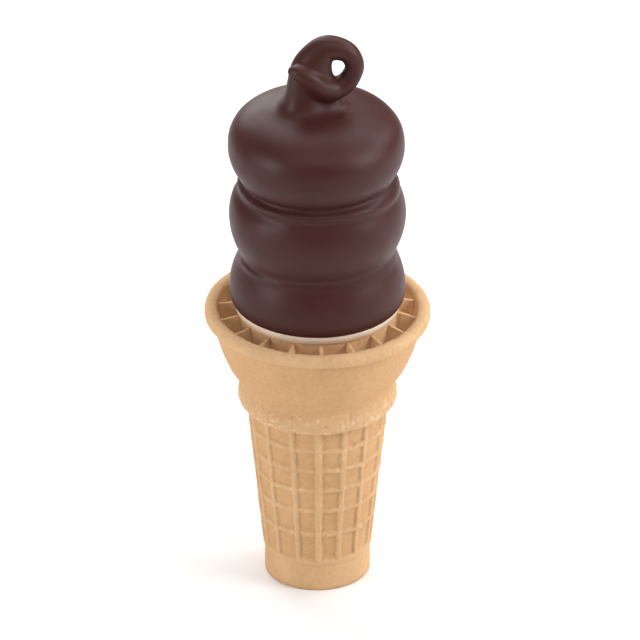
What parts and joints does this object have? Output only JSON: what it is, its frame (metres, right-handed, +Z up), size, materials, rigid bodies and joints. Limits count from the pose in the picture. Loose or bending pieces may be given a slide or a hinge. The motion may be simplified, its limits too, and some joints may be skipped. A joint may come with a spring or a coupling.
{
  "type": "ice cream cone",
  "caption": "Chocolate-dipped vanilla soft serve in stacked swirls with a looped curl on top, in a flat-bottomed wafer cone with a ribbed cup and a pocketed drip rim.",
  "frame": {"origin": "centre of the cone's flat base, on the surface that it stands on", "axes": "+Z up along the cone, +X to the side that the curl loops towards, -Y the front"},
  "size_m": [0.072, 0.072, 0.1928],
  "materials": {
    "wafer": "baked golden wafer, dry and matt, fine-grained with small pits and crumbs",
    "vanilla": "creamy vanilla soft serve, smooth with a soft wet sheen",
    "chocolate": "thin dark chocolate dip, smooth satin with broad soft highlights"
  },
  "bodies": {
    "root": {"wafer_cone": "wafer", "soft_serve": "vanilla", "chocolate_shell": "chocolate"}
  },
  "joints": []
}
